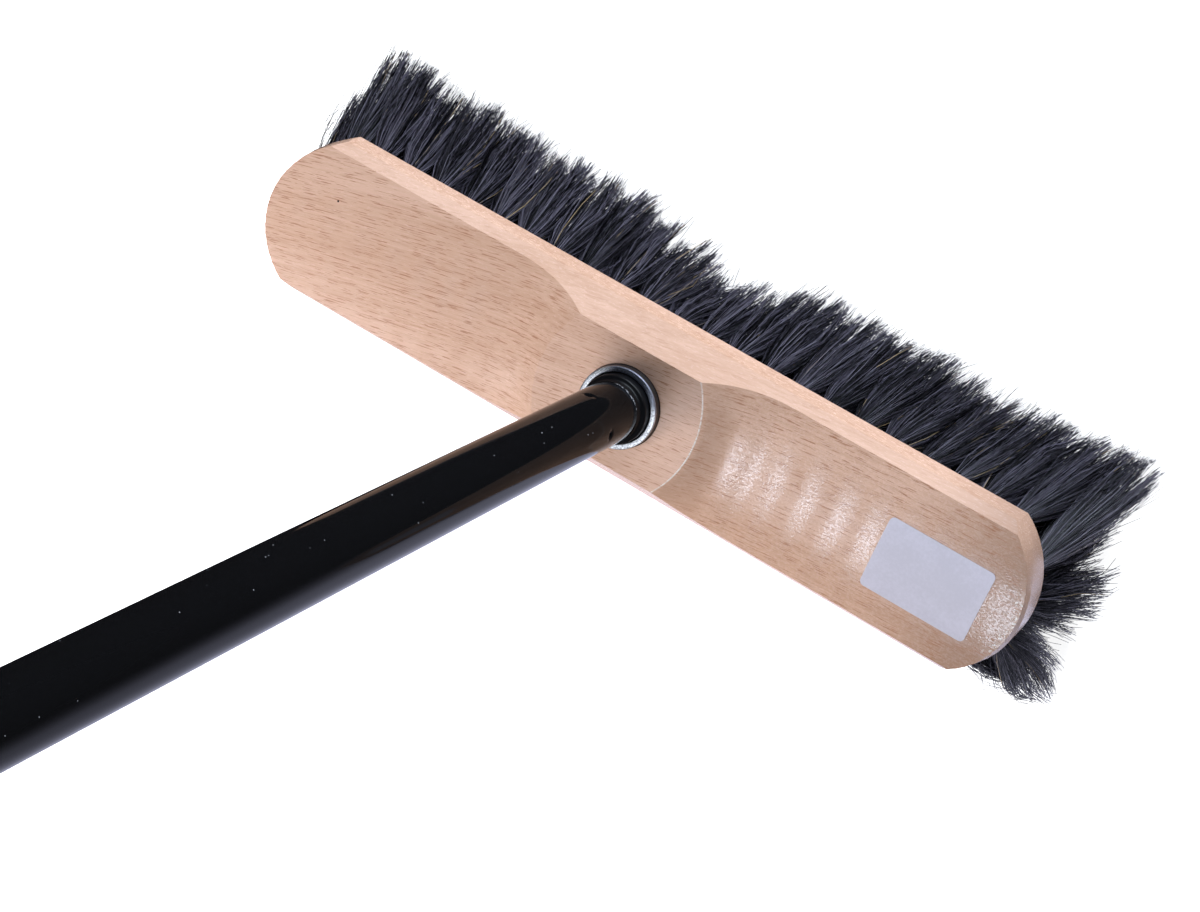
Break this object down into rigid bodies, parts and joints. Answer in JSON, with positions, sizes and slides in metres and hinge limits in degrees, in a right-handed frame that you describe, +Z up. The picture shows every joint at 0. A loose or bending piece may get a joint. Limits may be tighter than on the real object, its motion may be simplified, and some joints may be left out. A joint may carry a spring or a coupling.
{
  "type": "horsehair broom",
  "caption": "Indoor broom with a varnished beech block, black horsehair tufts, a galvanised screw socket and a black metal tube handle with a hanging eye.",
  "frame": {"origin": "on the floor under the middle of the block, where the hair tips rest", "axes": "+X along the block, +Y across it, +Z up the handle's axis"},
  "size_m": [0.3265, 0.0882, 1.3204],
  "materials": {
    "beech": "clear varnish",
    "horsehair": "natural black hair",
    "zinc": "galvanised",
    "plastic": "moulded black",
    "lacquer": "gloss black lacquer"
  },
  "bodies": {
    "head": {"beech_block": "beech", "galvanised_sleeve": "zinc", "bristle_strip_01": "horsehair", "bristle_strip_02": "horsehair", "bristle_strip_03": "horsehair", "bristle_strip_04": "horsehair", "bristle_strip_05": "horsehair", "bristle_strip_06": "horsehair", "bristle_strip_07": "horsehair", "bristle_strip_08": "horsehair", "bristle_strip_09": "horsehair", "bristle_strip_10": "horsehair", "bristle_strip_11": "horsehair", "bristle_strip_12": "horsehair", "bristle_strip_13": "horsehair", "bristle_strip_14": "horsehair", "bristle_strip_15": "horsehair", "bristle_strip_16": "horsehair", "bristle_strip_17": "horsehair", "bristle_strip_18": "horsehair", "bristle_strip_19": "horsehair", "bristle_strip_20": "horsehair", "bristle_strip_21": "horsehair", "bristle_strip_22": "horsehair", "bristle_strip_23": "horsehair", "bristle_strip_24": "horsehair"},
    "plug": {"threaded_plug": "plastic"},
    "handle": {"handle_tube": "lacquer", "hanging_cap": "plastic"}
  },
  "joints": [
    {"name": "handle_lift", "type": "slide", "parent": "head", "child": "plug", "axis": [0, 0, 1], "range_m": [0, 0.0175]},
    {"name": "handle_turn", "type": "hinge", "parent": "plug", "child": "handle", "pos_m": [0, 0, 0.0633], "axis": [0, 0, 1], "range_deg": [0, 1260]}
  ],
  "couplings": [
    {"joint": "handle_turn", "follows": "handle_lift", "rad_per_m": 1256.6}
  ]
}
